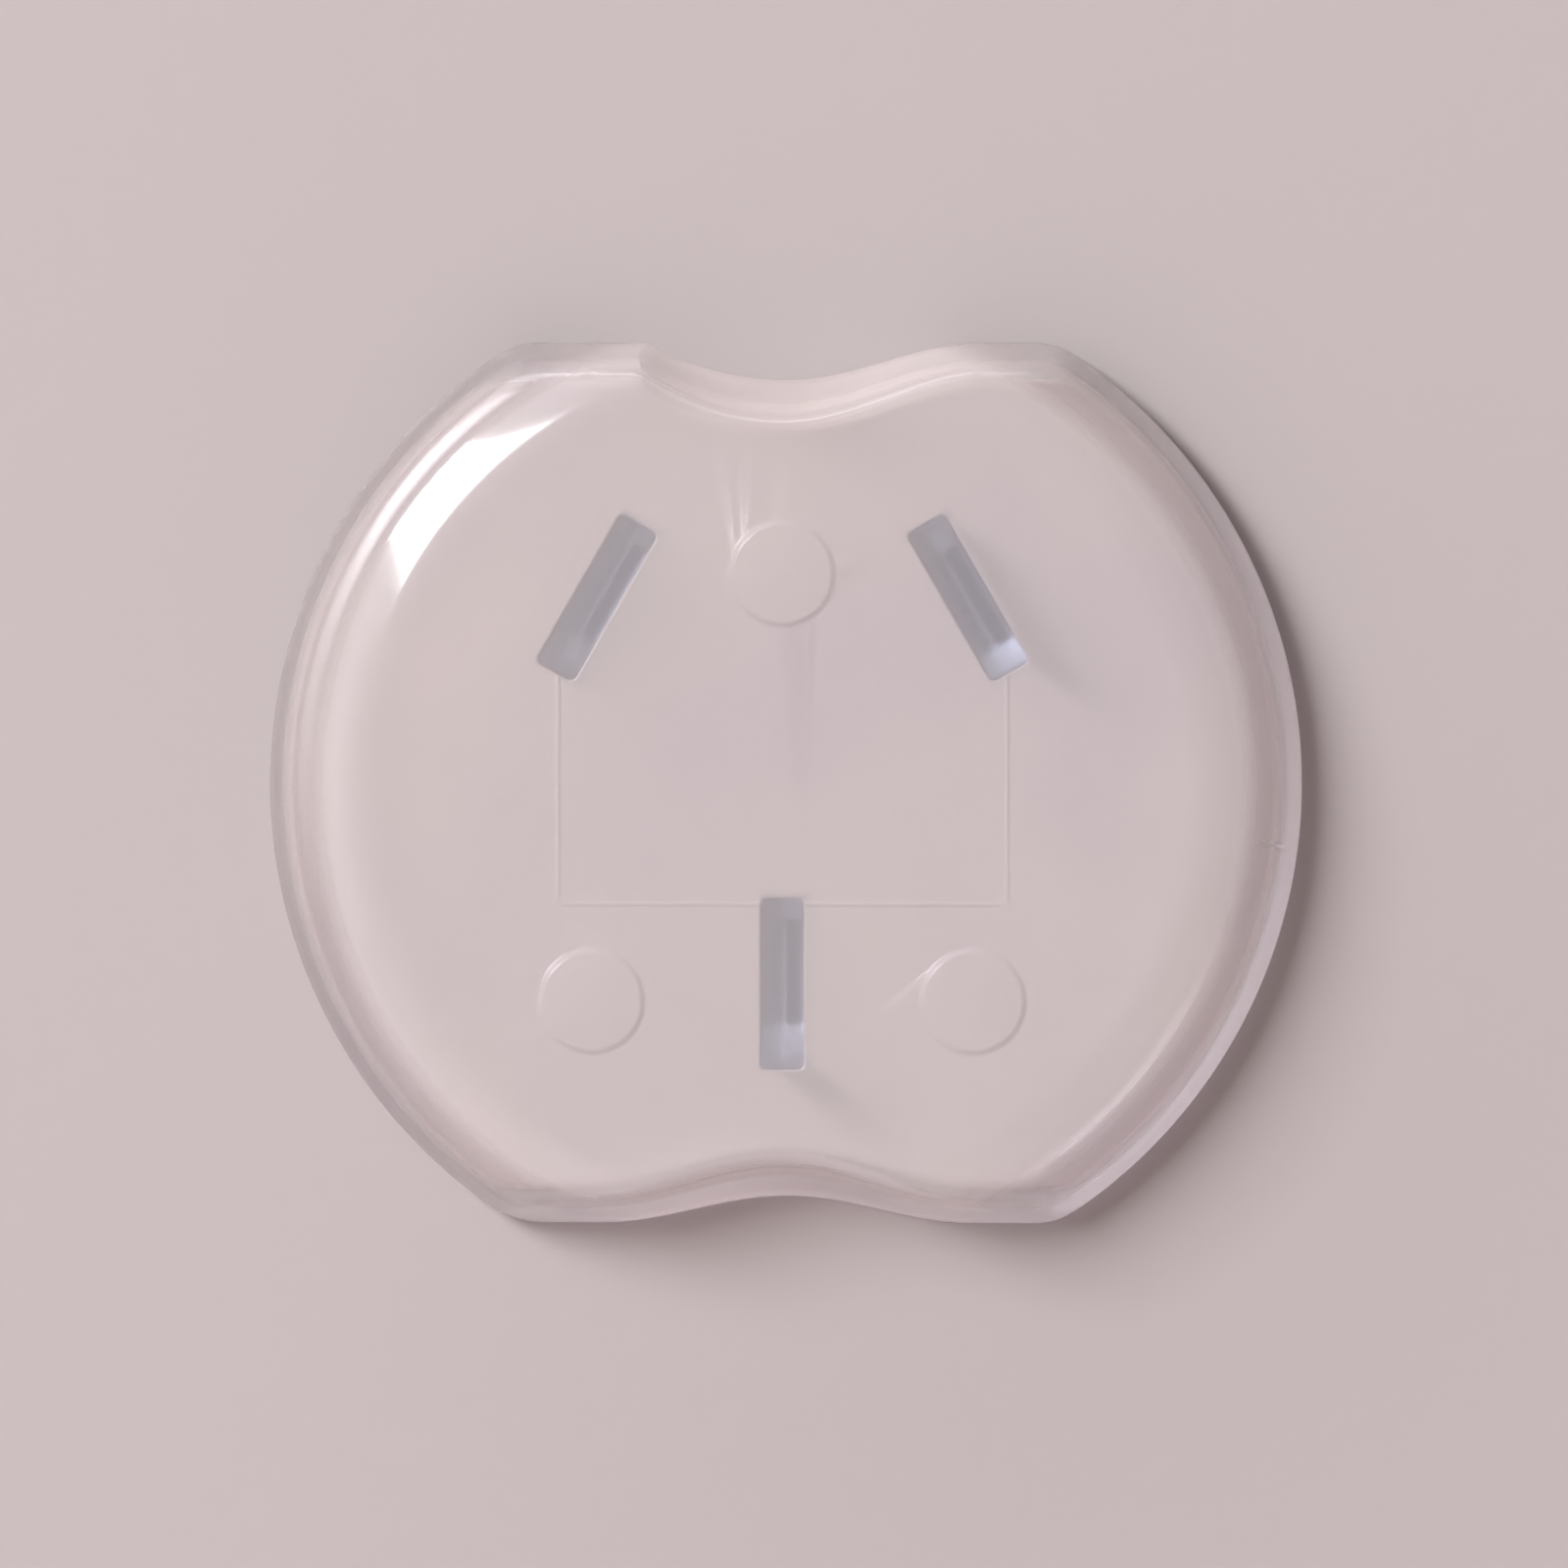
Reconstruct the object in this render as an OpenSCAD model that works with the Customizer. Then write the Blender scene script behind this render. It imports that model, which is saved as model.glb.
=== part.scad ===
// Outlet safety cover: a shallow translucent cap with three flat blades on its back.
// It is one moulded piece. The cap's rim seats against a wall socket, and the blades fill the slots.
// Millimetres. Made lying face up, then turned: face to -Y, blades to +Y, up is +Z.
// The origin is the centre of the blade pattern, on the plane of the rim's back edge.

/* [Cap outline] */
// Width of the cap across its two round sides
cap_w = 38.3; // [34:0.1:46]
// Height of the cap between its straight top and bottom sides
cap_h = 32.8; // [29.6:0.1:37]
// How far the centre of the cap lies below the centre of the blade pattern
cap_drop = 2.94; // [1.5:0.01:4]
// How far the flat face stands out from the seat
cap_rise = 4.4; // [3:0.1:8]
// Radius of the broad rounding between the round sides and the flat face
shoulder_r = 4.4; // [3:0.1:6]
// How far in from the round sides that rounding reaches
shoulder_w = 4.2; // [2.5:0.1:5]
// Radius inside the hollow, between its side walls and the ceiling
inner_r = 1.4; // [0.8:0.1:2]
// Lean of the straight sides and the scoops towards the face, in degrees
side_draft = 16; // [2:1:24]

/* [Walls] */
// Thickness of the flat face
face_t = 1.4; // [1:0.05:1.8]
// Thickness of the side walls, measured at the rim
rim_t = 0.8; // [0.7:0.05:1.2]

/* [Finger scoops] */
// Width of each scoop at the rim, measured as if both its ends were crisp
scoop_w = 10.6; // [8:0.1:13]
// Depth of the upper scoop at the rim
scoop_top_depth = 1.4; // [0.8:0.1:2]
// Depth of the lower scoop at the rim
scoop_low_depth = 1.0; // [0.6:0.1:1.6]
// Radius of a scoop's soft ends: the upper scoop has one on the right, the lower has two
scoop_end_r = 9.6; // [6:0.1:12]

/* [Blades] */
// Width of a blade across its flat side
blade_w = 6.35; // [5.5:0.05:7]
// Thickness of a blade
blade_t = 1.63; // [1.3:0.01:2.2]
// Length of a blade past the seat
blade_len = 16.6; // [10:0.1:22]
// Distance of each upper blade's centre from the middle line
live_x = 6.86; // [5.8:0.01:8]
// Height of the upper blades' centres above the centre of the pattern
live_y = 3.96; // [3:0.01:5]
// Lean of each upper blade from upright, in degrees, with the tops closer together
live_lean = 30; // [20:1:40]
// Distance of the lower blade's centre below the centre of the pattern
earth_y = 10.3; // [9:0.01:11]
// Length of the tapered tip of each blade
tip_len = 2.2; // [1:0.1:4]
// How much each side of the tip is drawn in across the blade's width
tip_in_w = 1.1; // [0.3:0.05:1.8]
// How much each side of the tip is drawn in across the blade's thickness
tip_in_t = 0.4; // [0.1:0.05:0.55]

/* [Moulding marks] */
// Diameter of the round ejector marks inside the face
mark_d = 3.8; // [2:0.1:5]
// Depth of the round ejector marks
mark_deep = 0.15; // [0.05:0.05:0.3]
// Distance of the two lower marks from the middle line
mark_low_x = 7.05; // [5:0.05:8.5]
// Distance of the two lower marks below the centre of the cap
mark_low_y = 8; // [6.5:0.1:9]
// Distance of the upper mark above the centre of the cap
mark_top_y = 7.8; // [6:0.1:9]
// Distance of the fine upright mould lines from the middle line
line_x = 8.3; // [7.8:0.1:9.5]
// Distance of the fine level mould line below the centre of the cap
line_low_y = 4.4; // [3:0.1:5.5]
// Distance of the upper ends of the upright mould lines above the centre of the cap
line_top_y = 4.2; // [2:0.1:5]
// Width of the fine mould lines
line_w = 0.25; // [0.1:0.05:0.5]
// Depth of the fine mould lines
line_deep = 0.1; // [0.05:0.05:0.2]

/* [Hidden] */
$fn = 96;
cap_r = cap_w / 2;
half_h = cap_h / 2;
lean = tan(side_draft);
shoulder_in = min(shoulder_w, 0.97 * shoulder_r);
ceiling = cap_rise - face_t;
hollow_r = min(inner_r, ceiling - 0.3);
below = 1;
bite = 0.4;
cut_low = -2 * below;
cut_high = cap_rise + 2;
overlap = 0.012;

// Radius of the arc that makes a scoop of the chosen width and depth.
function scoop_r(deep) = (scoop_w * scoop_w / 4 + deep * deep) / (2 * deep);

// Half of the dome's section: a disc whose top edge is rounded by an arc of radius round_r,
// which starts reach_in from the side. foot lets the section run on below the seat.
module dome_section(r, h, round_r, reach_in, foot) {
  middle = h - round_r;
  intersection() {
    translate([0, -foot]) square([r, h + foot]);
    union() {
      translate([0, -foot]) square([r - reach_in, h + foot]);
      if (middle > -foot) translate([r - reach_in, -foot]) square([reach_in, middle + foot]);
      intersection() {
        translate([r - reach_in, middle]) circle(r = round_r);
        translate([r - reach_in, middle]) square([reach_in, round_r]);
      }
    }
  }
}

// A flat cut from x0 to x1 whose edge stands at y on the seat and leans in by angle.
module leaning_cut(x0, x1, y, angle) {
  translate([x0, y, 0])
    rotate([angle, 0, 0])
      translate([0, 0, -10])
        cube([x1 - x0, 20, 30]);
}

// A round bar along Z whose radius is r on the seat and changes by spread for each millimetre up.
module leaning_round(x, y, r, spread) {
  translate([x, y, cut_low])
    cylinder(h = cut_high - cut_low, r1 = r + cut_low * spread, r2 = r + cut_high * spread);
}

// What is cut away beside one straight side: a leaning flat, and a leaning round scoop.
// inset moves both towards the middle by the wall thickness. Each x direction in soft_ends
// gets an end arc that touches both the scoop's arc and the straight side. The end arc is
// larger than that by the tiny overlap, so that it crosses them and leaves no sliver.
module side_cut(deep, inset, soft_ends) {
  arc = scoop_r(deep);
  arcs = arc + scoop_end_r;
  end_x = sqrt(deep * (2 * arcs - deep));
  level = (arcs - deep) / arcs;
  leaning_cut(-cap_w, cap_w, half_h - inset, side_draft);
  leaning_round(0, half_h + arc - deep, arc + inset, lean);
  for (side = soft_ends)
    difference() {
      leaning_cut(
        min(0, side * end_x), max(0, side * end_x),
        half_h + arc - deep - (arc + inset) * level, atan(lean * level));
      leaning_round(side * end_x, half_h - scoop_end_r, scoop_end_r + overlap - inset, -lean);
    }
}

// The cap's form, used once for the outside and once, smaller, for the hollow.
module cap_form(r, h, round_r, reach_in, inset, foot) {
  difference() {
    rotate_extrude() dome_section(r, h, round_r, reach_in, foot);
    side_cut(scoop_top_depth, inset, [1]);
    mirror([0, 1, 0]) side_cut(scoop_low_depth, inset, [-1, 1]);
  }
}

// Ejector marks and mould lines, sunk a little into the inside of the face.
module moulding_marks() {
  for (side = [-1, 1])
    translate([side * mark_low_x, -mark_low_y, ceiling - bite])
      cylinder(h = bite + mark_deep, d = mark_d);
  translate([0, mark_top_y, ceiling - bite])
    cylinder(h = bite + mark_deep, d = mark_d);
  for (side = [-1, 1])
    translate([side * line_x - line_w / 2, -line_low_y, ceiling - bite])
      cube([line_w, line_low_y + line_top_y, bite + line_deep]);
  translate([-line_x - line_w / 2, -line_low_y - line_w / 2, ceiling - bite])
    cube([2 * line_x + line_w, line_w, bite + line_deep]);
}

// One outline of a blade, drawn in at its tip: half is half of its width or thickness.
module blade_outline(half, drawn) {
  top = ceiling + bite;
  polygon([
    [-half, top],
    [-half, -blade_len + tip_len],
    [-half + drawn, -blade_len],
    [half - drawn, -blade_len],
    [half, -blade_len + tip_len],
    [half, top]
  ]);
}

// A flat blade with its width along Y, its tip tapered both ways.
module blade() {
  intersection() {
    rotate([90, 0, 90])
      linear_extrude(height = 2 * blade_t, center = true)
        blade_outline(blade_w / 2, tip_in_w);
    rotate([90, 0, 0])
      linear_extrude(height = 2 * blade_w, center = true)
        blade_outline(blade_t / 2, min(tip_in_t, blade_t / 2 - 0.2));
  }
}

module cap_shell() {
  translate([0, -cap_drop, 0])
    difference() {
      cap_form(cap_r, cap_rise, shoulder_r, shoulder_in, 0, 0);
      cap_form(cap_r - rim_t, ceiling, hollow_r, hollow_r, rim_t, below);
      moulding_marks();
    }
}

module outlet_cover() {
  color([0.86, 0.88, 0.9, 0.5])
    rotate([90, 0, 0]) {
      cap_shell();
      translate([-live_x, live_y, 0]) rotate([0, 0, -live_lean]) blade();
      translate([live_x, live_y, 0]) rotate([0, 0, live_lean]) blade();
      translate([0, -earth_y, 0]) blade();
    }
}

outlet_cover();
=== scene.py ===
# %% [markdown]
# # A plug-in outlet safety cover
# The cover is one moulding of soft, milky, see-through plastic: a shallow cap with a finger
# scoop in its top and bottom, and three flat blades on its back that fill a socket's slots.
# A solid model of it is loaded first. It fixes every size and place, and this lesson gives it
# the surface that a real moulding has: soft edges, fillets, sink marks and a translucent finish.

# %% Load the solid model
import bmesh
import bpy
import math
from mathutils import Matrix, Vector


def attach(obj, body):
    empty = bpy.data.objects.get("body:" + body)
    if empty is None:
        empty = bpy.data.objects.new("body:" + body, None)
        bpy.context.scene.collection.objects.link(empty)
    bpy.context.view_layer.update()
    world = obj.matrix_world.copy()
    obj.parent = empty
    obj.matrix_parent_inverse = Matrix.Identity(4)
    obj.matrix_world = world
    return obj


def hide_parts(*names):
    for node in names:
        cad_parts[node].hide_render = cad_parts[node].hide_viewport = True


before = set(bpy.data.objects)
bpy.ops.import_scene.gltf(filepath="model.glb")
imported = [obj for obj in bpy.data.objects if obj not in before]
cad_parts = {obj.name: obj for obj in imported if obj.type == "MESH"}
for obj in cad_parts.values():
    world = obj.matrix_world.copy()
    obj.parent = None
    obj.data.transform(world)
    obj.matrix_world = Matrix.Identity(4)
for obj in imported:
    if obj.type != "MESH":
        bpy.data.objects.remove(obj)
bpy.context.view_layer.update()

# %% [markdown]
# ## Sizes of the moulding
# Moulds are drawn in millimetres, so the pieces are shaped in millimetres too, lying face up:
# X is right, Y is up on the wall, and Z is the rise out of the wall. The last step of each piece
# turns it upright and scales it to metres.

# %% Sizes of the cap in millimetres
CAP_RADIUS = 19.15
CAP_HALF_HEIGHT = 16.4
CAP_DROP = 2.94
FACE_RISE = 4.4
CEILING = 3.0
WALL = 0.8
SHOULDER_ARC = 4.4
SHOULDER_REACH = 4.2
INNER_ARC = 1.4
SIDE_LEAN = math.tan(math.radians(16))
SHOULDER = (SHOULDER_ARC, SHOULDER_REACH)
INNER_SHOULDER = (INNER_ARC, INNER_ARC)
OUT_EDGE = 0.35
IN_EDGE = 0.3
RIM_EDGE = 0.12
CORNER_SOFTNESS = 0.4
AROUND = 384
print("cap, mm:", 2 * CAP_RADIUS, "across and", 2 * CAP_HALF_HEIGHT, "high")

# %% Sizes of the blades in millimetres
BLADE_HALF_WIDTH = 3.175
BLADE_HALF_THICKNESS = 0.815
BLADE_REACH = 16.6
TIP_LENGTH = 2.2
BLADES = {
    "left": (-6.86, 3.96, -30),
    "right": (6.86, 3.96, 30),
    "earth": (0.0, -10.3, 0),
}
UPRIGHT = Matrix.Scale(0.001, 4) @ Matrix.Rotation(math.radians(90), 4, "X")
print("blades:", len(BLADES), "of", 2 * BLADE_HALF_WIDTH, "mm wide")

# %% [markdown]
# ## The outline of the cap
# Seen from the front the cap is a disc with its top and bottom cut straight, and a scoop in each
# straight side for a fingertip. The walls lean in towards the face so the moulding leaves its
# mould. One function can give the wall's place for any direction and any rise, and then every
# ring of the mesh is the same circle pushed onto it. That was chosen over cutting a disc with
# other solids because the soft corners then need no repair.
# The upper scoop has a crisp left end and fades out to the right. The lower one is a smooth wave.

# %% The finger scoops
UPPER_DEEP = 1.4
LOWER_DEEP = 1.0
DEEPER_WITH_RISE = 0.07
UPPER_CRISP_END = 5.3
UPPER_SOFT_END = 7.4
LOWER_SOFT_END = 6.9


def wave(x, end):
    """1 in the middle of a soft scoop, and 0 from its end on."""
    return 0.5 + 0.5 * math.cos(math.pi * min(abs(x) / end, 1))


def scoop_depth(x, rise, upper):
    if not upper:
        return (LOWER_DEEP + DEEPER_WITH_RISE * rise) * wave(x, LOWER_SOFT_END)
    deep = UPPER_DEEP + DEEPER_WITH_RISE * rise
    if x < 0:
        u = min(-x / UPPER_CRISP_END, 1)
        return deep * (1 - u * u)
    return deep * wave(x, UPPER_SOFT_END)


print("scoops, mm deep at the rim:", scoop_depth(0, 0, True), "and", scoop_depth(0, 0, False))

# %% Where the straight sides stand
FAR_OFF = 99.0


def side_reach(turn, rise, inset):
    """How far out the straight side is in this direction."""
    upper = math.sin(turn) > 0
    steep = abs(math.sin(turn))
    if steep < 0.5:
        return FAR_OFF
    reach = CAP_HALF_HEIGHT
    for _ in range(14):
        x = reach * math.cos(turn)
        reach = (CAP_HALF_HEIGHT - inset - rise * SIDE_LEAN - scoop_depth(x, rise, upper)) / steep
    return reach


def softer_of(a, b, width):
    """The smaller of two reaches, with the corner between them rounded."""
    h = max(width - abs(a - b), 0) / width
    return min(a, b) - h * h * width / 4


print("top side at the rim, mm:", round(side_reach(math.radians(90), 0, 0), 2))

# %% Where the wall stands at a rise
GATE_TURN = math.radians(161.7)
GATE_DEEP = 0.14
GATE_SPREAD = 0.45
GATE_HEIGHT = 1.6


def gate_nick(turn, rise):
    """The small bite that the gate leaves low on the left side when it is broken off."""
    across = (turn - GATE_TURN) * CAP_RADIUS
    return GATE_DEEP * math.exp(-(across / GATE_SPREAD) ** 2) * max(1 - rise / GATE_HEIGHT, 0)


def wall_reach(turn, rise, inset, top, shoulder, edge):
    """Distance from the cap's middle to its wall, at a rise and in a direction."""
    arc, arc_reach = shoulder
    up = max(rise - top + arc, 0)
    round_side = CAP_RADIUS - inset - arc_reach
    round_side += min(arc_reach, math.sqrt(max(arc * arc - up * up, 0)))
    straight = side_reach(turn, rise, inset)
    if rise > top - edge:
        up = min((rise - top + edge) / edge, 1)
        straight -= edge * (1 - math.sqrt(max(1 - up * up, 0)))
    if inset < WALL / 2:
        round_side -= gate_nick(turn, rise)
    return softer_of(round_side, straight, CORNER_SOFTNESS)


print("left side at the gate and above it, mm:",
      [round(wall_reach(GATE_TURN, rise, 0, FACE_RISE, SHOULDER, OUT_EDGE), 2) for rise in (0, 2)])

# %% The heights of the rings


def rises(top, shoulder, edge, foot):
    """The heights of the rings up a wall: even steps up the shoulder, closer at the top."""
    arc, arc_reach = shoulder
    widest = math.asin(arc_reach / arc)
    narrowest = math.acos(1 - edge / arc)
    start = top - arc + arc * math.cos(widest)
    low = [foot, (foot + start) / 2, start]
    turns = [widest + (narrowest - widest) * k / 11 for k in range(1, 12)]
    middle = [top - arc + arc * math.cos(turn) for turn in turns]
    crown = [top - edge + edge * math.sin(math.radians(90) * k / 8) for k in range(1, 9)]
    return low + middle + crown


print("rings up the outside:", len(rises(FACE_RISE, SHOULDER, OUT_EDGE, RIM_EDGE)))

# %% [markdown]
# ## Growing the cap ring by ring
# Each ring is extruded from the one before and then pushed onto the outline. The rings start in
# the middle of the face, run over the edge, down the outside, across the flat rim that seats on
# the socket, up the inside and over the ceiling, so the shell comes out closed.

# %% Extruding one ring


def grow(bm, ring, place):
    """Extrudes a closed ring of edges and moves each new corner by place(turn) = (reach, rise)."""
    grown = bmesh.ops.extrude_edge_only(bm, edges=ring)["geom"]
    corners = {g for g in grown if isinstance(g, bmesh.types.BMVert)}
    for v in corners:
        turn = math.atan2(v.co.y, v.co.x)
        reach, rise = place(turn)
        v.co = (reach * math.cos(turn), reach * math.sin(turn), rise)
    return [
        g for g in grown
        if isinstance(g, bmesh.types.BMEdge) and g.verts[0] in corners and g.verts[1] in corners
    ]


# %% [markdown]
# Where a thick blade joins a thin face, the plastic shrinks as it cools and the face sinks a
# few hundredths of a millimetre. That shows only in the gloss, as a soft kink in a reflection.

# %% Sink marks over the blades
SINK_DEEP = 0.05
SINK_SPREAD = 1.3
SINK_SHORTER = 0.8


def sink(x, y):
    deep = 0.0
    for bx, by, lean in BLADES.values():
        across = Vector((x - bx, y - by - CAP_DROP)).to_3d()
        across.rotate(Matrix.Rotation(math.radians(-lean), 3, "Z"))
        off = math.hypot(across.x, max(abs(across.y) - BLADE_HALF_WIDTH + SINK_SHORTER, 0))
        deep += SINK_DEEP * math.exp(-((off / SINK_SPREAD) ** 2))
    return deep


print("face over the earth blade sinks, mm:", round(sink(0, BLADES["earth"][1] + CAP_DROP), 3))

# %% The places of the rings


def face_edge(turn):
    return wall_reach(turn, FACE_RISE, 0, FACE_RISE, SHOULDER, OUT_EDGE)


def on_face(share, gap):
    def place(turn):
        reach = (face_edge(turn) - gap) * share
        return reach, FACE_RISE - sink(reach * math.cos(turn), reach * math.sin(turn))
    return place


def outside(rise, inset=0.0):
    return lambda turn: (wall_reach(turn, rise, inset, FACE_RISE, SHOULDER, OUT_EDGE), rise)


def inside(rise, extra=0.0):
    return lambda turn: (
        wall_reach(turn, max(rise, 0), WALL + extra, CEILING, INNER_SHOULDER, IN_EDGE), rise)


# %% The cap's shell
FACE_RINGS = 25
FIRST_RING = 0.05
FLAT_GAP = 0.15

cap = bmesh.new()
start = bmesh.ops.create_circle(cap, cap_ends=True, radius=0.8, segments=AROUND)
for v in start["verts"]:
    v.co.z = FACE_RISE
ring = list(cap.edges)
for k in range(1, FACE_RINGS + 1):
    ring = grow(cap, ring, on_face(FIRST_RING + (1 - FIRST_RING) * k / FACE_RINGS, FLAT_GAP))
for rise in reversed(rises(FACE_RISE, SHOULDER, OUT_EDGE, RIM_EDGE)):
    ring = grow(cap, ring, outside(rise))
for a in (60, 30, 0):
    drop = RIM_EDGE * (1 - math.cos(math.radians(a)))
    ring = grow(cap, ring, outside(drop, RIM_EDGE * (1 - math.sin(math.radians(a)))))
for a in (0, 45, 90):
    drop = RIM_EDGE * (1 - math.cos(math.radians(a)))
    ring = grow(cap, ring, inside(drop, -RIM_EDGE * (1 - math.sin(math.radians(a)))))
for rise in rises(CEILING, INNER_SHOULDER, IN_EDGE, RIM_EDGE + 0.08):
    ring = grow(cap, ring, inside(rise))
ring = grow(cap, ring, lambda turn: (inside(CEILING)(turn)[0] - FLAT_GAP, CEILING))
bmesh.ops.edgeloop_fill(cap, edges=ring)
bmesh.ops.translate(cap, verts=cap.verts, vec=(0, -CAP_DROP, 0))
bmesh.ops.recalc_face_normals(cap, faces=cap.faces)
print("cap shell:", len(cap.faces), "faces,",
      sum(1 for e in cap.edges if not e.is_manifold), "open edges")

# %% [markdown]
# ## The blades
# A blade is a flat bar with eased edges, a small fillet where it meets the inside of the face,
# a hair of draft along its length, and a tip drawn in both ways so that it finds its slot.
# One square face is rounded at its corners and then extruded from station to station.

# %% The stations of a blade
FILLET = 0.12
EASED_EDGE = 0.28


def blade_stations():
    """(rise, grow each half width and thickness by) from the root to the tip."""
    stations = [(CEILING + 0.3, FILLET * 0.6, FILLET * 0.6)]
    for angle in (65, 50, 35, 18, 0):
        a = math.radians(angle)
        out = FILLET * (1 - math.cos(a))
        stations.append((CEILING - FILLET * (1 - math.sin(a)), out, out))
    tip = -BLADE_REACH
    taper = tip + TIP_LENGTH
    for rise, draft in ((0.5, 0.01), (taper / 2, 0.03), (taper, 0.06)):
        stations.append((rise, -draft, -draft / 2))
    return stations + [(tip + 0.22, -1.0, -0.36), (tip + 0.07, -1.1, -0.42), (tip, -1.26, -0.54)]


print("stations of a blade:", len(blade_stations()))

# %% One blade


def blade(x, y, lean):
    bm = bmesh.new()
    bmesh.ops.create_grid(bm, x_segments=1, y_segments=1, size=1)
    bmesh.ops.scale(bm, vec=(BLADE_HALF_THICKNESS, BLADE_HALF_WIDTH, 1), verts=bm.verts)
    bmesh.ops.bevel(bm, geom=list(bm.verts), offset=EASED_EDGE, segments=6, profile=0.5,
                    affect="VERTICES", material=-1)
    face = bm.faces[:][0]
    now_w, now_t = BLADE_HALF_WIDTH, BLADE_HALF_THICKNESS
    for number, (rise, wider, thicker) in enumerate(blade_stations()):
        if number:
            grown = bmesh.ops.extrude_discrete_faces(bm, faces=[face])
            face = grown["faces"][0]
        w, t = BLADE_HALF_WIDTH + wider, BLADE_HALF_THICKNESS + thicker
        bmesh.ops.scale(bm, vec=(t / now_t, w / now_w, 1), verts=face.verts)
        for v in face.verts:
            v.co.z = rise
        now_w, now_t = w, t
    root = [e for e in bm.edges if e.is_boundary]
    if root:
        bmesh.ops.edgeloop_fill(bm, edges=root)
    bmesh.ops.rotate(bm, verts=bm.verts, matrix=Matrix.Rotation(math.radians(lean), 3, "Z"))
    bmesh.ops.translate(bm, verts=bm.verts, vec=(x, y, 0))
    bmesh.ops.recalc_face_normals(bm, faces=bm.faces)
    return bm


# %% [markdown]
# ## Marks that the mould leaves inside
# Ejector pins leave three shallow discs, and the block that shapes the space between the blades
# leaves a fine line. They are cut into the ceiling. A step with a sharp edge would not show
# through the face, because only a slope turns light towards the eye. So the discs get soft
# edges, spun from a profile, and the lines are the bites of thin round rods.
# This cover has also been scratched on its right shoulder, which one more thin rod bites out.

# %% Ejector marks
MARK_PLACES = ((-7.05, -8.0), (7.05, -8.0), (0.0, 7.8))
MARK_RADIUS = 1.9
MARK_DEEP = 0.15
MARK_EDGE = 0.28
MARK_BELOW = 0.3


def mark_profile():
    """(radius, rise) from the middle of a mark's bottom, over its soft edge, to below it."""
    points = [(0, CEILING + MARK_DEEP)]
    for k in range(11):
        u = k / 10 * 0.94
        fall = u * u * (3 - 2 * u)
        points.append((MARK_RADIUS + MARK_EDGE * (u - 0.5), CEILING + MARK_DEEP * (1 - fall)))
    return points + [(points[-1][0], CEILING - MARK_BELOW), (0, CEILING - MARK_BELOW)]


def mark(x, y):
    bm = bmesh.new()
    verts = [bm.verts.new((r, 0, z)) for r, z in mark_profile()]
    edges = [bm.edges.new(pair) for pair in zip(verts, verts[1:])]
    bmesh.ops.spin(bm, geom=verts + edges, cent=(0, 0, 0), axis=(0, 0, 1), angle=math.tau,
                   steps=96, use_merge=True)
    bmesh.ops.remove_doubles(bm, verts=bm.verts, dist=1e-5)
    bmesh.ops.translate(bm, verts=bm.verts, vec=(x, y - CAP_DROP, 0))
    bmesh.ops.recalc_face_normals(bm, faces=bm.faces)
    return bm


print("ejector marks:", len(MARK_PLACES), "of", 2 * MARK_RADIUS, "mm across")

# %% The block's line and the scratch
LINE_ROD = 0.15
LINE_DEEP = 0.045
LINES = ((-8.3, -4.2, -8.3, 4.2), (8.3, -4.2, 8.3, 4.2), (-8.1, -4.4, 8.1, -4.4))
SCRATCH_ROD = 0.12
SCRATCH = ((17.6, -2.08, 3.4), (18.64, -2.38, 2.16))


def rod(start, end, radius, segments):
    along = Vector(end) - Vector(start)
    middle = (Vector(start) + Vector(end)) / 2 - Vector((0, CAP_DROP, 0))
    turned = along.to_track_quat("Z", "Y").to_matrix().to_4x4()
    bm = bmesh.new()
    bmesh.ops.create_cone(bm, cap_ends=True, segments=segments, radius1=radius, radius2=radius,
                          depth=along.length, matrix=Matrix.Translation(middle) @ turned)
    return bm


def line(x0, y0, x1, y1):
    """A rod from one point of the ceiling to another, sunk in by LINE_DEEP."""
    level = CEILING + LINE_DEEP - LINE_ROD
    return rod((x0, y0, level), (x1, y1, level), LINE_ROD, 96)


print("fine lines:", len(LINES))

# %% [markdown]
# ## Making it one moulding
# The marks are cut from the cap first, so that they stop at the blades. A real moulding has no
# seams, so the blades are then united with it into one closed skin. The Boolean modifier does
# both, and is applied straight away.

# %% Cut and unite


def as_object(bm, name):
    mesh = bpy.data.meshes.new(name)
    bm.to_mesh(mesh)
    bm.free()
    thing = bpy.data.objects.new(name, mesh)
    bpy.context.scene.collection.objects.link(thing)
    return thing


def combine(thing, tool, how):
    step = thing.modifiers.new(how, "BOOLEAN")
    step.operation = how
    step.solver = "EXACT"
    step.object = tool
    bpy.context.view_layer.update()
    done = bpy.data.meshes.new_from_object(
        thing.evaluated_get(bpy.context.evaluated_depsgraph_get()))
    thing.modifiers.clear()
    thing.data = done
    bpy.data.objects.remove(tool)


moulding = as_object(cap, "cover_moulding")
for x, y in MARK_PLACES:
    combine(moulding, as_object(mark(x, y), "mark"), "DIFFERENCE")
for ends in LINES:
    combine(moulding, as_object(line(*ends), "line"), "DIFFERENCE")
combine(moulding, as_object(rod(*SCRATCH, SCRATCH_ROD, 24), "scratch"), "DIFFERENCE")
for name, (x, y, lean) in BLADES.items():
    combine(moulding, as_object(blade(x, y, lean), "blade_" + name), "UNION")
print("united:", len(moulding.data.polygons), "faces")

# %% Clean the skin and turn it upright
CREASE = math.radians(19)

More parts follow.
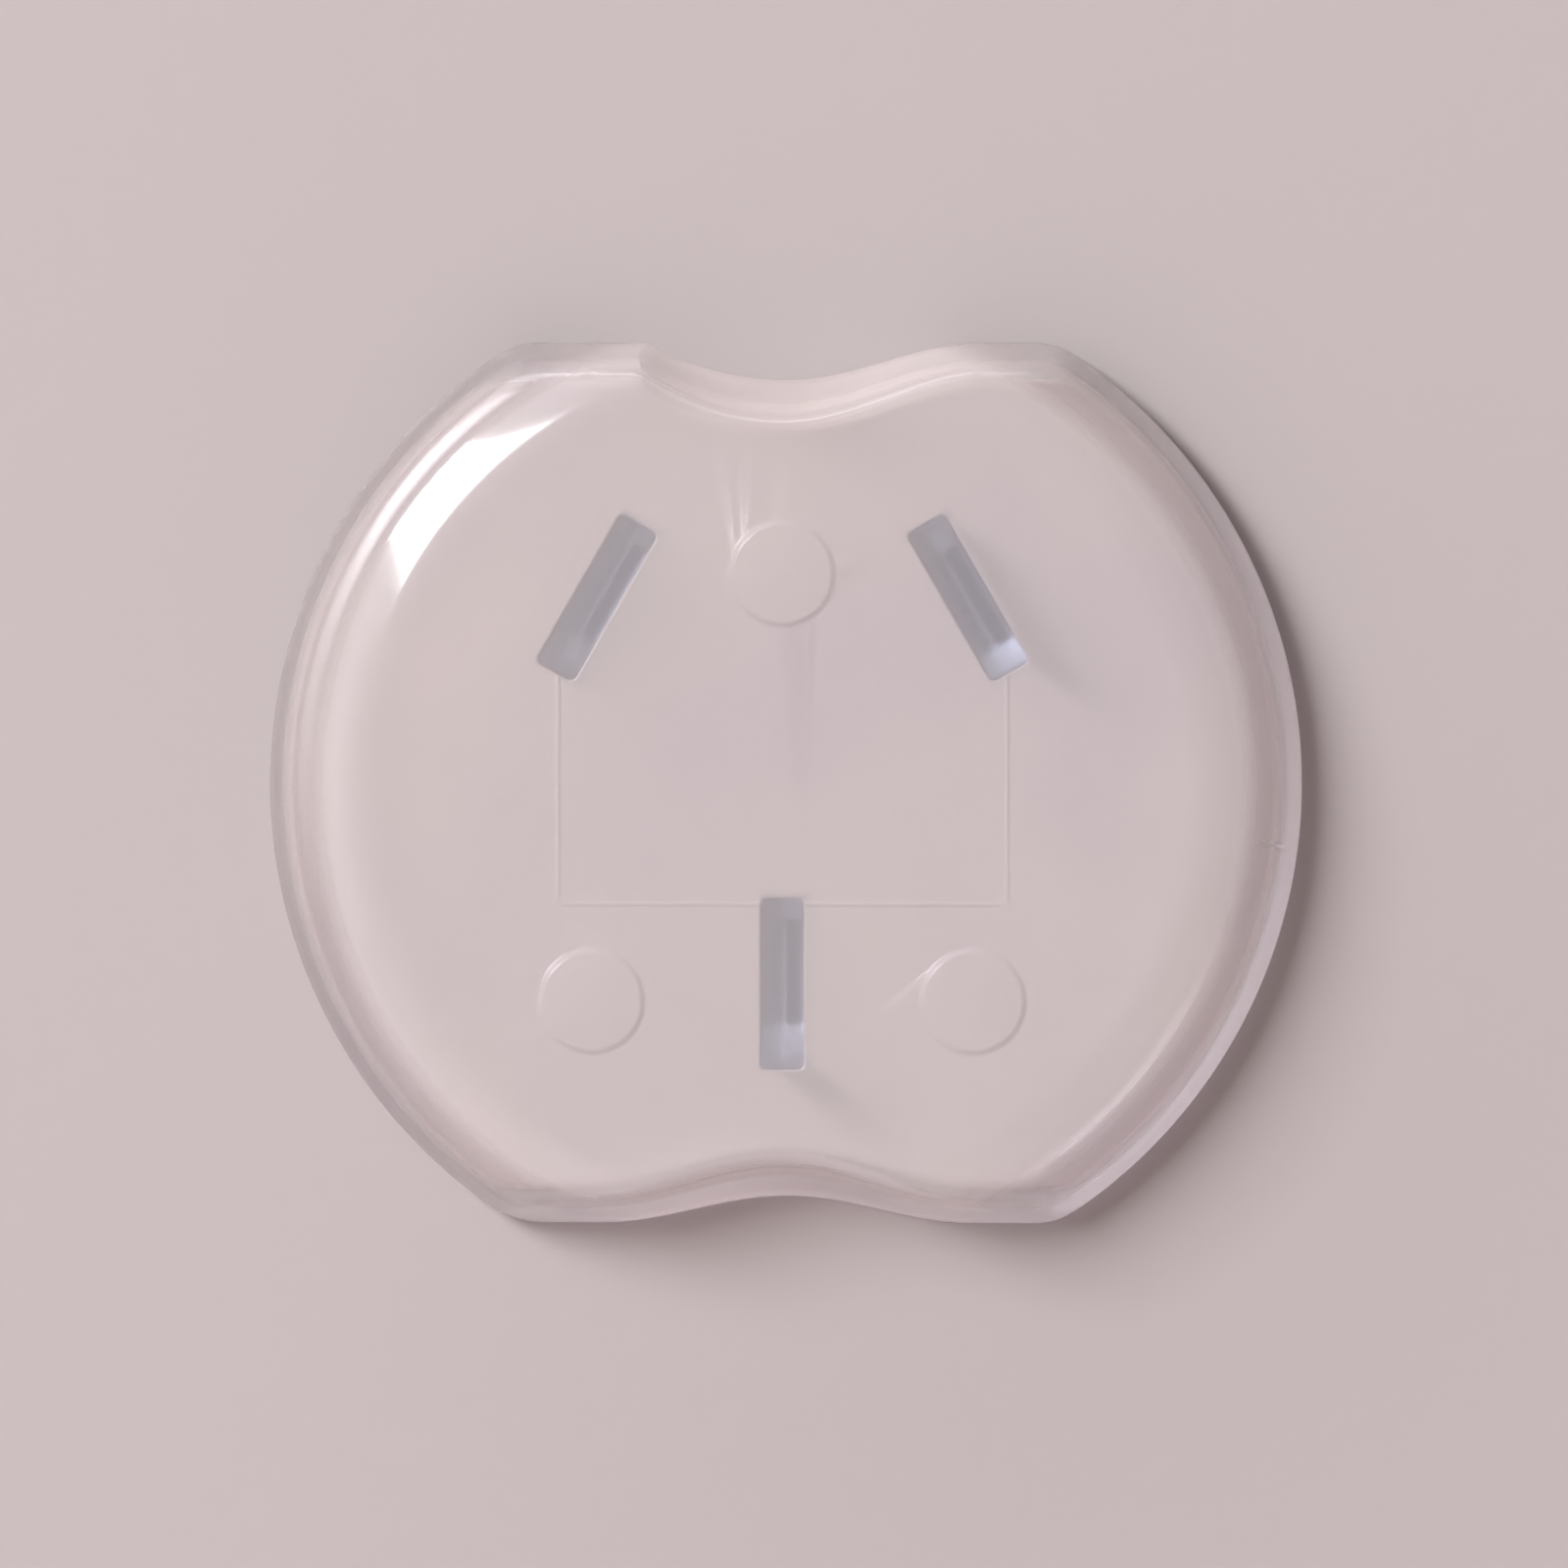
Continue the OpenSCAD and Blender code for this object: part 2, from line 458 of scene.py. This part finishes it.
tidy = bmesh.new()
tidy.from_mesh(moulding.data)
bmesh.ops.remove_doubles(tidy, verts=tidy.verts, dist=0.002)
bmesh.ops.dissolve_degenerate(tidy, edges=tidy.edges, dist=0.0005)
bmesh.ops.transform(tidy, matrix=UPRIGHT, verts=tidy.verts)
bmesh.ops.recalc_face_normals(tidy, faces=tidy.faces)
for face in tidy.faces:
    face.smooth = True
open_edges = sum(1 for e in tidy.edges if not e.is_manifold)
volume = tidy.calc_volume() * 1e9
tidy.to_mesh(moulding.data)
tidy.free()
moulding.data.set_sharp_from_angle(angle=CREASE)
print("moulding:", len(moulding.data.polygons), "faces,", open_edges, "open edges,",
      round(volume, 1), "mm3")

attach(moulding, "root")
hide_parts("outlet_cover")

# %% [markdown]
# ## The finish
# The plastic is low-density polyethylene, injection moulded. It is milky because its crystals
# scatter light, so what lies behind is seen softly, and its skin is glossy where it touched the
# polished mould. In thick places, such as along a blade, it takes on a blue-grey depth.
# One material can do all of it when a few soft-edged zones, read from the place on the moulding,
# say where it is wall, blade or rim.

# %% Colour and node helpers


def linear(hex_colour):
    parts = [int(hex_colour[i:i + 2], 16) / 255 for i in (1, 3, 5)]
    return [c / 12.92 if c <= 0.04045 else ((c + 0.055) / 1.055) ** 2.4 for c in parts] + [1]


def add(tree, kind, settings=None, links=None):
    """Adds a node, sets its fields or sockets by name, and links sockets to other outputs."""
    node = tree.nodes.new(kind)
    for key, value in (settings or {}).items():
        if isinstance(key, str) and hasattr(node, key):
            setattr(node, key, value)
        else:
            node.inputs[key].default_value = value
    for key, source in (links or {}).items():
        tree.links.new(source, node.inputs[key])
    return node


def new_material(name):
    material = bpy.data.materials.new(name)
    material.use_nodes = True
    material.node_tree.nodes.clear()
    return material, material.node_tree


SOFT = {"interpolation_type": "SMOOTHSTEP"}
print("the lamp's white, linear:", [round(c, 3) for c in linear("#F8FCFF")[:3]])

# %% The zones of the moulding


def zones(tree, place):
    """Soft-edged zones, each 0 or 1 with a ramp between, and the direction out from the middle."""
    depth_in = add(tree, "ShaderNodeSeparateXYZ", {}, {0: place})
    from_middle = add(tree, "ShaderNodeVectorMath",
                      {"operation": "ADD", 1: (0, 0, CAP_DROP * 0.001)}, {0: place})
    level = add(tree, "ShaderNodeVectorMath",
                {"operation": "MULTIPLY", 1: (1, 0, 1)}, {0: from_middle.outputs[0]})
    reach = add(tree, "ShaderNodeVectorMath", {"operation": "LENGTH"}, {0: level.outputs[0]})
    outward = add(tree, "ShaderNodeVectorMath", {"operation": "NORMALIZE"},
                  {0: level.outputs[0]})
    # Walls and blades start where the face ends, 2.9 mm out from the seat. The walls are more
    # than 13 mm from the cap's middle, and the blades are the rest.
    low = add(tree, "ShaderNodeMapRange", {**SOFT, "From Min": -0.0029, "From Max": -0.0022},
              {"Value": depth_in.outputs["Y"]})
    side = add(tree, "ShaderNodeMapRange", {**SOFT, "From Min": 0.0125, "From Max": 0.0135},
               {"Value": reach.outputs["Value"]})
    wall = add(tree, "ShaderNodeMath", {"operation": "MULTIPLY"},
               {0: low.outputs["Result"], 1: side.outputs["Result"]})
    blades = add(tree, "ShaderNodeMath", {"operation": "SUBTRACT"},
                 {0: low.outputs["Result"], 1: wall.outputs[0]})
    # All that lies more than a millimetre behind the face: the shoulder and the whole inside.
    worn = add(tree, "ShaderNodeMapRange", {**SOFT, "From Min": -0.0039, "From Max": -0.0033},
               {"Value": depth_in.outputs["Y"]})
    rim = add(tree, "ShaderNodeMapRange", {**SOFT, "From Min": 0.0168, "From Max": 0.0178},
              {"Value": reach.outputs["Value"]})
    return {"wall": wall.outputs[0], "blades": blades.outputs[0], "worn": worn.outputs["Result"],
            "rim": rim.outputs["Result"], "outward": outward.outputs[0]}


# %% How dull and how clear the skin is


def dullness(tree, place, zone):
    """The face is polished. The inside is not, fingers have dulled the shoulder a little, and
    the blades are the dullest part of the moulding."""
    # Flow and cooling leave a fine unevenness about 1 mm across.
    fine = add(tree, "ShaderNodeTexNoise", {"Scale": 1000.0, "Detail": 2.0}, {"Vector": place})
    polish = add(tree, "ShaderNodeMapRange",
                 {"From Min": 0.3, "From Max": 0.7, "To Min": 0.1, "To Max": 0.13},
                 {"Value": fine.outputs["Fac"]})
    dull = add(tree, "ShaderNodeMath", {"operation": "MULTIPLY_ADD", 1: 0.1},
               {0: zone["worn"], 2: polish.outputs["Result"]})
    rough = add(tree, "ShaderNodeMath", {"operation": "MULTIPLY_ADD", 1: 0.2},
                {0: zone["blades"], 2: dull.outputs[0]})
    return rough.outputs[0]


def clearness(tree, broad, zone):
    """The worn places are milkier. The blades stay clear and look dark, because their sides mirror
    the slots that they stand in, whose dark blue is painted shade in the room. The round rim is
    clearer again."""
    haze = add(tree, "ShaderNodeMapRange",
               {"From Min": 0.3, "From Max": 0.7, "To Min": 0.65, "To Max": 0.69},
               {"Value": broad})
    cloudy = add(tree, "ShaderNodeMath", {"operation": "MULTIPLY_ADD", 1: -0.12},
                 {0: zone["worn"], 2: haze.outputs["Result"]})
    with_blades = add(tree, "ShaderNodeMath", {"operation": "MULTIPLY_ADD", 1: 0.4},
                      {0: zone["blades"], 2: cloudy.outputs[0]})
    clear = add(tree, "ShaderNodeMath", {"operation": "MULTIPLY_ADD", 1: 0.3},
                {0: zone["rim"], 2: with_blades.outputs[0]})
    return clear.outputs[0]


# %% How much lamp light the shell lets by


def lamp_share(tree, outward):
    """Lamps reach what is behind the thin face and the inner walls. The steep outside of the
    shoulder bends away about half of the light that enters there, and nearly all that would
    leave there, so the cap casts a shadow."""
    surface = add(tree, "ShaderNodeNewGeometry")
    facing = add(tree, "ShaderNodeVectorMath", {"operation": "DOT_PRODUCT"},
                 {0: outward, 1: surface.outputs["True Normal"]})
    turned = add(tree, "ShaderNodeMath", {"operation": "MULTIPLY_ADD", 1: -1.5, 2: 1.0},
                 {0: surface.outputs["Backfacing"]})
    steep = add(tree, "ShaderNodeMath", {"operation": "MULTIPLY"},
                {0: facing.outputs["Value"], 1: turned.outputs[0]})
    passed = add(tree, "ShaderNodeMapRange", {
        **SOFT, "From Min": 0.3, "From Max": 0.7, "To Min": 1.0, "To Max": 0.05,
    }, {"Value": steep.outputs[0]})
    path = add(tree, "ShaderNodeLightPath")
    share = add(tree, "ShaderNodeMath", {"operation": "MULTIPLY"},
                {0: path.outputs["Is Shadow Ray"], 1: passed.outputs["Result"]})
    return share.outputs[0]


# %% Moulded milky polyethylene


def milky_polyethylene():
    material, tree = new_material("moulded_ldpe_milky")
    place = add(tree, "ShaderNodeTexCoord").outputs["Object"]
    zone = zones(tree, place)
    # Flow fronts leave a faint unevenness about 9 mm across, in the bumps and the haze. The same
    # pattern leans the white a little to lilac in soft patches, which is painted shade.
    broad = add(tree, "ShaderNodeTexNoise", {"Scale": 110.0, "Detail": 1.0}, {"Vector": place})
    ripple = add(tree, "ShaderNodeBump", {"Strength": 0.12, "Distance": 0.00005},
                 {"Height": broad.outputs["Fac"]})
    # Painted shade: the second, lilac-leaning white stands in for soft shadows seen through the
    # face.
    white_and_painted_shade = add(tree, "ShaderNodeMix", {"data_type": "RGBA", 6: linear("#FDF2EB"),
                                       7: linear("#F9EFF0")}, {0: broad.outputs["Fac"]})
    skin = add(tree, "ShaderNodeBsdfPrincipled", {
        "IOR": 1.5,
        "Coat Weight": 0.3,
        "Coat Roughness": 0.04,
        "Coat IOR": 1.5,
    }, {
        "Base Color": white_and_painted_shade.outputs[2],
        "Transmission Weight": clearness(tree, broad.outputs["Fac"], zone),
        "Roughness": dullness(tree, place, zone),
        "Normal": ripple.outputs["Normal"],
    })
    # The walls also glow with the light that has crept into them from the other side.
    glow = add(tree, "ShaderNodeBsdfTranslucent", {"Color": linear("#FFFBF8")})
    glowing = add(tree, "ShaderNodeMath", {"operation": "MULTIPLY", 1: 0.2}, {0: zone["wall"]})
    milky = add(tree, "ShaderNodeMixShader", {}, {
        0: glowing.outputs[0], 1: skin.outputs[0], 2: glow.outputs[0]})
    passing = add(tree, "ShaderNodeBsdfTransparent", {"Color": linear("#FDFBFC")})
    mix = add(tree, "ShaderNodeMixShader", {}, {
        0: lamp_share(tree, zone["outward"]), 1: milky.outputs[0], 2: passing.outputs[0]})
    # Light that runs along a blade comes out blue-grey.
    depth = add(tree, "ShaderNodeVolumeAbsorption",
                {"Color": linear("#7F9BBE"), "Density": 60.0})
    add(tree, "ShaderNodeOutputMaterial", {}, {
        "Surface": mix.outputs[0], "Volume": depth.outputs[0]})
    return material


moulding.data.materials.clear()
moulding.data.materials.append(milky_polyethylene())
print("finish:", moulding.data.materials[0].name)

# %% [markdown]
# ## The setting
# The cover is worn on a wall, so it is shown seated on a plain pale sweep: a wall that curves
# forward into a floor. The blades pass through slots cut in the sweep. From behind, the sweep
# lets everything through, so that the blades can be seen from there as well.

# %% The slots in the sweep
SLOT_ROOM = 0.15


def cut_slot(bm, x, y, lean):
    """Cuts the wall along the four sides of a slot, and takes the piece between them out."""
    across = Vector((math.cos(math.radians(lean)), 0, math.sin(math.radians(lean))))
    along = Vector((-across.z, 0, across.x))
    middle = Vector((x, 0, y)) * 0.001
    sides = [(across * s, BLADE_HALF_THICKNESS + SLOT_ROOM) for s in (-1, 1)]
    sides += [(along * s, BLADE_HALF_WIDTH + SLOT_ROOM) for s in (-1, 1)]
    for normal, off in sides:
        wall = [f for f in bm.faces if abs(f.normal.y) > 0.9 or f.normal.length == 0]
        geom = list({g for f in wall for g in [f, *f.edges, *f.verts]})
        bmesh.ops.bisect_plane(bm, geom=geom, dist=1e-9,
                               plane_co=middle + normal * off * 0.001, plane_no=normal)
        bm.normal_update()
    gone = []
    for f in bm.faces:
        away = f.calc_center_median() - middle
        if (abs(away.dot(across)) < BLADE_HALF_THICKNESS * 0.001
                and abs(away.dot(along)) < BLADE_HALF_WIDTH * 0.001 and abs(away.y) < 0.001):
            gone.append(f)
    bmesh.ops.delete(bm, geom=gone, context="FACES")


# %% The pale sweep in metres
SWEEP_HALF_WIDTH = 1.2
SWEEP_TOP = 0.8
SWEEP_FRONT = -1.6
WALL_BEHIND_RIM = 0.00003
BEND_START = -0.25
BEND = 0.2


def sweep():
    bm = bmesh.new()
    ends = (-SWEEP_HALF_WIDTH, SWEEP_HALF_WIDTH)
    edge = [bm.edges.new([bm.verts.new((x, WALL_BEHIND_RIM, SWEEP_TOP)) for x in ends])]
    profile = [(WALL_BEHIND_RIM, BEND_START)]
    profile += [(BEND * math.cos(math.radians(a)) - BEND,
                 BEND_START - BEND * math.sin(math.radians(a))) for a in range(6, 91, 6)]
    profile += [(SWEEP_FRONT, BEND_START - BEND)]
    for y, z in profile:
        grown = bmesh.ops.extrude_edge_only(bm, edges=edge)["geom"]
        corners = {g for g in grown if isinstance(g, bmesh.types.BMVert)}
        for v in corners:
            v.co.y, v.co.z = y, z
        edge = [g for g in grown if isinstance(g, bmesh.types.BMEdge)
                and g.verts[0] in corners and g.verts[1] in corners]
    for place in BLADES.values():
        cut_slot(bm, *place)
    bm.normal_update()
    upper = max(bm.faces, key=lambda f: f.calc_area() * (abs(f.normal.y) > 0.9))
    if upper.normal.y > 0:
        bmesh.ops.reverse_faces(bm, faces=bm.faces)
    for f in bm.faces:
        f.smooth = abs(f.normal.y) < 0.999
    return as_object(bm, "sweep")


# %% Matt pale paint


def pale_paint():
    material, tree = new_material("matt_pale_paint")
    skin = add(tree, "ShaderNodeBsdfDiffuse", {"Color": linear("#D0C5C4")})
    # Well away from the cover the sweep is one even pale colour for the camera.
    place = add(tree, "ShaderNodeTexCoord").outputs["Object"]
    far = add(tree, "ShaderNodeVectorMath", {"operation": "LENGTH"}, {0: place})
    fade = add(tree, "ShaderNodeMapRange", {**SOFT, "From Min": 0.08, "From Max": 0.25},
               {"Value": far.outputs["Value"]})
    path = add(tree, "ShaderNodeLightPath")
    share = add(tree, "ShaderNodeMath", {"operation": "MULTIPLY"},
                {0: path.outputs["Is Camera Ray"], 1: fade.outputs["Result"]})
    even = add(tree, "ShaderNodeEmission", {"Color": linear("#D2C6C4")})
    lit = add(tree, "ShaderNodeMixShader", {}, {
        0: share.outputs[0], 1: skin.outputs[0], 2: even.outputs[0]})
    side = add(tree, "ShaderNodeNewGeometry")
    clear = add(tree, "ShaderNodeBsdfTransparent")
    mix = add(tree, "ShaderNodeMixShader", {}, {
        0: side.outputs["Backfacing"], 1: lit.outputs[0], 2: clear.outputs[0]})
    add(tree, "ShaderNodeOutputMaterial", {}, {"Surface": mix.outputs[0]})
    return material


backdrop = sweep()
backdrop.data.materials.append(pale_paint())
print("sweep:", len(backdrop.data.polygons), "faces")

# %% [markdown]
# ## Light
# One long soft box at the upper left gives the slim bright bands on the cap's shoulder and the soft
# shadow at the lower right. The room adds an even fill, a little warmer than the lamp. It is
# brighter on the left, with soft ends, so that the shoulder picks up a glow there and a fine bright
# line along its outer edge. Plastic shows the pale room behind it, except when it is looked through
# into the wall: there the room paints the slots a dark blue, which is painted shade.

# %% Soft box
MIDDLE = Vector((0, -0.002, -0.001 * CAP_DROP))


def soft_box(name, away, tilt, turn, size, watts, colour):
    """A lamp at a distance, tilt degrees off the straight-on view, towards turn on the wall."""
    t, a = math.radians(tilt), math.radians(turn)
    to = Vector((math.sin(t) * math.cos(a), -math.cos(t), math.sin(t) * math.sin(a)))
    straight_on = Vector((0, -1, 0))
    radial = (straight_on - to * straight_on.dot(to)).normalized()
    lamp = bpy.data.lights.new(name, "AREA")
    lamp.shape = "RECTANGLE"
    lamp.size, lamp.size_y = size
    lamp.energy = watts
    lamp.color = linear(colour)[:3]
    thing = bpy.data.objects.new(name, lamp)
    bpy.context.scene.collection.objects.link(thing)
    facing = Matrix((radial.cross(to), radial, to)).transposed().to_4x4()
    thing.matrix_world = Matrix.Translation(MIDDLE + to * away) @ facing
    thing.visible_camera = False
    return thing


key = soft_box("key_soft_box", away=1.0, tilt=45, turn=143, size=(0.25, 0.7), watts=8.6,
               colour="#F8FCFF")
print("soft box, m from the cover:", round((key.matrix_world.translation - MIDDLE).length, 2))

# %% The bright side of the room


def patch(tree, turn, sideways, begins, ends):
    """A bright patch of the room with soft edges. It grows over the range sideways towards a turn
    on the wall, begins over a range of the direction's Y, and ends over another."""
    a = math.radians(turn)
    ahead = add(tree, "ShaderNodeTexCoord").outputs["Generated"]
    out = add(tree, "ShaderNodeSeparateXYZ", {}, {0: ahead}).outputs["Y"]
    towards = add(tree, "ShaderNodeVectorMath", {
        "operation": "DOT_PRODUCT", 1: (math.cos(a), 0, math.sin(a))}, {0: ahead})
    # Each step scales what the step before gives.
    grown = add(tree, "ShaderNodeMapRange",
                {**SOFT, "From Min": sideways[0], "From Max": sideways[1]},
                {"Value": towards.outputs["Value"]})
    begun = add(tree, "ShaderNodeMapRange",
                {**SOFT, "From Min": begins[0], "From Max": begins[1]},
                {"Value": out, "To Max": grown.outputs["Result"]})
    ended = add(tree, "ShaderNodeMapRange",
                {**SOFT, "From Min": ends[0], "From Max": ends[1], "To Max": 0.0},
                {"Value": out, "To Min": begun.outputs["Result"]})
    return ended.outputs["Result"]


# %% The room
SIDE_TURN = 155
STRIP_TURN = 125

world = bpy.data.worlds.new("pale_room")
bpy.context.scene.world = world
world.use_nodes = True
room = world.node_tree
room.nodes.clear()
side_wall = patch(room, SIDE_TURN, (0.1, 0.7), (-1.0, -0.72), (-0.66, -0.5))
strip = patch(room, STRIP_TURN, (0.2, 1.05), (-0.35, -0.08), (0.0, 0.06))
bright = add(room, "ShaderNodeMath", {"operation": "MULTIPLY_ADD", 1: 4.5}, {0: strip, 2: side_wall})
even = add(room, "ShaderNodeBackground", {"Color": linear("#FFE6D8"), "Strength": 0.1})
left = add(room, "ShaderNodeBackground", {"Color": linear("#FAF3F8")},
           {"Strength": bright.outputs[0]})
fill = add(room, "ShaderNodeAddShader", {}, {0: even.outputs[0], 1: left.outputs[0]})
# Painted shade: this dark blue stands in for the unlit inside of the socket's slots.
slot = add(room, "ShaderNodeBackground", {"Color": linear("#34506E"), "Strength": 1.0})
pale = add(room, "ShaderNodeBackground", {"Color": linear("#D2C6C4"), "Strength": 1.0})
print("the room is brightest towards", STRIP_TURN, "degrees on the wall")

# %% Which of them a ray sees
# The camera sees the pale room. Looked through the plastic, a direction that leads away from the
# wall shows the pale room too, and one that leads into it shows the dark slots, a dark blue painted
# as shade. All other rays meet the fill.
path = add(room, "ShaderNodeLightPath")
unlit = add(room, "ShaderNodeMath", {"operation": "LESS_THAN", 1: 0.5},
            {0: path.outputs["Diffuse Depth"]})
bent = add(room, "ShaderNodeMath", {"operation": "MULTIPLY"},
           {0: path.outputs["Is Transmission Ray"], 1: unlit.outputs[0]})
ahead = add(room, "ShaderNodeTexCoord").outputs["Generated"]
inward = add(room, "ShaderNodeSeparateXYZ", {}, {0: ahead}).outputs["Y"]
bent_out = add(room, "ShaderNodeMapRange",
               {**SOFT, "From Min": 0.1, "From Max": 0.35, "To Max": 0.0},
               {"Value": inward, "To Min": bent.outputs[0]})
seen = add(room, "ShaderNodeMath", {"operation": "MAXIMUM"},
           {0: path.outputs["Is Camera Ray"], 1: bent_out.outputs["Result"]})
unseen = add(room, "ShaderNodeMixShader", {}, {
    0: bent.outputs[0], 1: fill.outputs[0], 2: slot.outputs[0]})
choose = add(room, "ShaderNodeMixShader", {}, {
    0: seen.outputs[0], 1: unseen.outputs[0], 2: pale.outputs[0]})
add(room, "ShaderNodeOutputWorld", {}, {"Surface": choose.outputs[0]})
print("room:", len(room.nodes), "nodes")

# %% [markdown]
# ## Camera
# The cover is seen almost straight on, from a little to its right and above its middle.

# %% Camera
CAMERA_AWAY = 0.5
PICTURE_WIDTH = 0.058
SENSOR_WIDTH = 36

camera = bpy.data.objects.new("camera", bpy.data.cameras.new("camera"))
bpy.context.scene.collection.objects.link(camera)
camera.location = MIDDLE + Vector((0.023, -CAMERA_AWAY, 0.0116))
camera.rotation_euler = (MIDDLE - camera.location).to_track_quat("-Z", "Y").to_euler()
camera.data.sensor_width = SENSOR_WIDTH
camera.data.lens = SENSOR_WIDTH * CAMERA_AWAY / PICTURE_WIDTH
bpy.context.scene.camera = camera
bpy.context.scene.view_settings.view_transform = "Standard"
# The finish already says how much lamp light passes, so the plastic need not focus it as well.
bpy.context.scene.cycles.caustics_refractive = False
print("lens:", round(camera.data.lens, 1), "mm")
